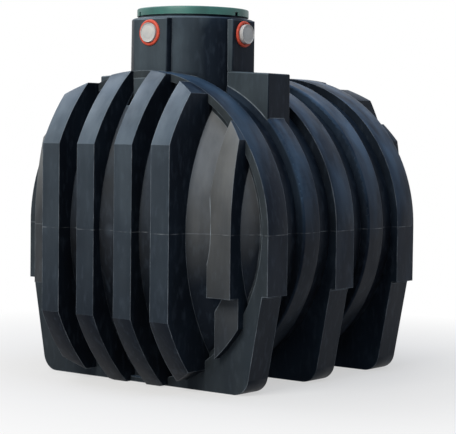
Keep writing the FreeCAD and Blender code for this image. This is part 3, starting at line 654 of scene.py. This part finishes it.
def in_notch(sector):
    """Whether a sector lies in a notch; the first notch is at the X axis."""
    return (sector + NOTCH_SECTORS // 2) % (LID_SECTORS // NOTCHES) < NOTCH_SECTORS


def add_sector(shape, sector):
    """One sector of the cap, and the wall beside it where a notch starts or ends."""
    foot = NOTCH_HEIGHT if in_notch(sector) else 0
    first, last = outline_at(shape, sector, foot), outline_at(shape, sector + 1, foot)
    for place in range(len(first) - 1):
        shape.faces.new((first[place], first[place + 1], last[place + 1], last[place]))
    skirt = lid_outline(0).index((LID_RADIUS, 0))
    for beside, outline in ((sector - 1, first), (sector + 1, last)):
        if foot == 0 and in_notch(beside):
            shape.faces.new(outline[skirt - 1:skirt + 3])


cap = bmesh.new()
for sector in range(LID_SECTORS):
    add_sector(cap, sector)
lid_middle = (lid_low + lid_high) / 2
piece = finished("screw_lid", cap, "lid", Matrix.Translation((lid_middle.x, lid_middle.y, lid_low.z)))
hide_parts("lid")
print(piece.name, len(piece.data.polygons), "faces")

# %% [markdown]
# ## Lid ribs
# The top of such a lid is stiffened and made less slippery by low ribs in the moulding: two
# rings and the spokes between them. They have sloping sides, so that the lid leaves its mould,
# and they stay below the lid's level middle. Rings and spokes share one section.

# %% Lid ribs
RING_RADII, SPOKES = (0.180, 0.318), 24
RIB_HALF, RIB_HIGH, RIB_ROOT = 4 * MM, 2.5 * MM, 1 * MM    # the root is sunk in the lid
RIB_SECTION = ((-RIB_HALF, -RIB_ROOT), (RIB_HALF, -RIB_ROOT),
               (RIB_HALF / 2, RIB_HIGH), (-RIB_HALF / 2, RIB_HIGH))


def lid_surface(radius):
    """How far the lid's top lies below its middle at a distance from the axis."""
    return -LID_FALL * max(radius - LID_CENTRE, 0) / (LID_RADIUS - LID_CENTRE)


def add_spoke(shape, number):
    """A straight bar with the ribs' section, from the inner ring to the outer one."""
    turn = Matrix.Rotation(math.tau * number / SPOKES, 4, "Z")
    corners = [shape.verts.new(turn @ Vector((far, across, lid_surface(far) + high)))
               for far in RING_RADII for across, high in RIB_SECTION]
    for place in range(4):
        after = (place + 1) % 4
        shape.faces.new((corners[place], corners[after], corners[after + 4], corners[place + 4]))
    shape.faces.new(corners[:4])
    shape.faces.new(corners[4:])


ribs = bmesh.new()
for radius in RING_RADII:
    turn_outline(ribs, [(radius + across, lid_surface(radius + across) + high)
                        for across, high in RIB_SECTION], closed=True)
for number in range(SPOKES):
    add_spoke(ribs, number)
piece = finished("lid_ribs", ribs, "lid", Matrix.Translation((lid_middle.x, lid_middle.y, lid_high.z)))
print(piece.name, len(piece.data.polygons), "faces")

# %% [markdown]
# ## Floor
# A pale floor takes the tank's shadow. Further out it turns into the same white as the backdrop,
# so that no horizon shows. The white is a glow that only the camera and mirror-like rays meet, so
# it adds no light to the tank.

# %% Floor
FLOOR_REACH = 60.0
WHITENS = 1.3, 4.0          # from the middle, where the floor starts to turn white and is white
NEAR_WHITE = 0.55           # the share of white beside the tank, which keeps its shadow


def seen_rays(tree):
    """1 for rays of the camera and of gloss, 0 for rays that carry light."""
    rays = add(tree, "ShaderNodeLightPath").outputs
    return add(tree, "ShaderNodeMath", {0: rays["Is Camera Ray"], 1: rays["Is Glossy Ray"]},
               operation="MAXIMUM").outputs[0]


def studio_floor(name):
    """A pale floor near the tank, plain white further out."""
    material, tree, shader = new_material(name)
    shader.inputs["Base Color"].default_value = seen("#C4C4C4")
    shader.inputs["Roughness"].default_value = 0.8
    place = add(tree, "ShaderNodeTexCoord").outputs["Object"]
    away = add(tree, "ShaderNodeVectorMath", {0: place}, operation="LENGTH").outputs["Value"]
    white = add(tree, "ShaderNodeEmission", {"Color": (1, 1, 1, 1), "Strength": 1.0})
    factor = times(tree, spread(tree, away, *WHITENS, NEAR_WHITE, 1.0), seen_rays(tree))
    mix = add(tree, "ShaderNodeMixShader", {"Fac": factor, 1: shader.outputs[0],
                                            2: white.outputs[0]})
    tree.links.new(mix.outputs[0], tree.nodes["Material Output"].inputs["Surface"])
    return material


floor_mesh = bpy.data.meshes.new("studio_floor")
disc = bmesh.new()
bmesh.ops.create_circle(disc, cap_ends=True, segments=64, radius=FLOOR_REACH)
disc.to_mesh(floor_mesh)
disc.free()
floor_mesh.materials.append(studio_floor("pale_studio_floor"))
floor = bpy.data.objects.new("studio_floor", floor_mesh)
bpy.context.collection.objects.link(floor)
print("floor reaches", FLOOR_REACH, "m")

# %% [markdown]
# ## Light
# A broad soft light stands high in front, as the daylight does in the picture, with a weaker one
# on the left and a cool one over the right side for sky. The levels are low enough that a colour
# renders about as it is written.

# %% Light
AIM = Vector((0, 0, 1.2))
LAMP_DISTANCE, LAMP_SIZE = 9.0, 4.5


def soft_light(name, azimuth, rise, level, tint):
    """A square soft light aimed at the tank, whose level is 1 where colours come out as written."""
    lamp = bpy.data.lights.new(name, "AREA")
    lamp.color = seen(tint)[:3]
    lamp.size = LAMP_SIZE
    lamp.energy = level * math.pi ** 2 * LAMP_DISTANCE ** 2
    holder = bpy.data.objects.new(name, lamp)
    turn, lift = math.radians(azimuth), math.radians(rise)
    way = Vector((math.sin(turn) * math.cos(lift), -math.cos(turn) * math.cos(lift),
                  math.sin(lift)))
    holder.location = AIM + way * LAMP_DISTANCE
    holder.rotation_euler = (-way).to_track_quat("-Z", "Y").to_euler()
    bpy.context.collection.objects.link(holder)
    return holder


soft_light("front_light", azimuth=6, rise=36, level=0.80, tint="#FFFBF4")
soft_light("left_light", azimuth=-78, rise=48, level=0.40, tint="#F2F6FF")
soft_light("sky_light", azimuth=88, rise=72, level=0.28, tint="#BFDAFF")
print("lights:", len(bpy.data.lights))

# %% [markdown]
# ## Backdrop
# The world is white to the eye and to reflections, but as a light it is dim, so it only fills
# the shadows. The Light Path node tells the two uses apart.

# %% Backdrop
FILL_LEVEL = 0.24

world = bpy.data.worlds.new("studio")
world.use_nodes = True
sky = world.node_tree
through = add(sky, "ShaderNodeLightPath").outputs["Is Transmission Ray"]
eye = add(sky, "ShaderNodeMath", {0: seen_rays(sky), 1: through}, operation="MAXIMUM").outputs[0]
sky.nodes["Background"].inputs["Color"].default_value = (1, 1, 1, 1)
sky.links.new(spread(sky, eye, 0, 1, FILL_LEVEL, 1.0), sky.nodes["Background"].inputs["Strength"])
bpy.context.scene.world = world
bpy.context.scene.view_settings.view_transform = "Standard"
print("backdrop lights the tank at", FILL_LEVEL)

# %% [markdown]
# ## Camera
# The picture was taken from standing height, about eleven metres off, with a long lens. The
# values come from fitting the corners of the solid model to the same corners in the picture.

# %% Camera
CAMERA_AT = (7.0441, -8.8353, 1.6553)
CAMERA_AZIMUTH, CAMERA_RISE, CAMERA_ROLL = 38.365, 2.920, 0.678
CAMERA_LENS, SENSOR_WIDTH, VIEW_END = 126.23, 36, 200

lens = bpy.data.cameras.new("camera")
lens.lens = CAMERA_LENS
lens.sensor_width = SENSOR_WIDTH
lens.clip_end = VIEW_END
camera = bpy.data.objects.new("camera", lens)
turn, lift = math.radians(CAMERA_AZIMUTH), math.radians(CAMERA_RISE)
camera.matrix_world = (
    Matrix.Translation(CAMERA_AT)
    @ Matrix.Rotation(turn, 4, "Z")
    @ Matrix.Rotation(math.pi / 2 - lift, 4, "X")
    @ Matrix.Rotation(math.radians(CAMERA_ROLL), 4, "Z")
)
bpy.context.collection.objects.link(camera)
bpy.context.scene.camera = camera
print("camera at", CAMERA_AT)
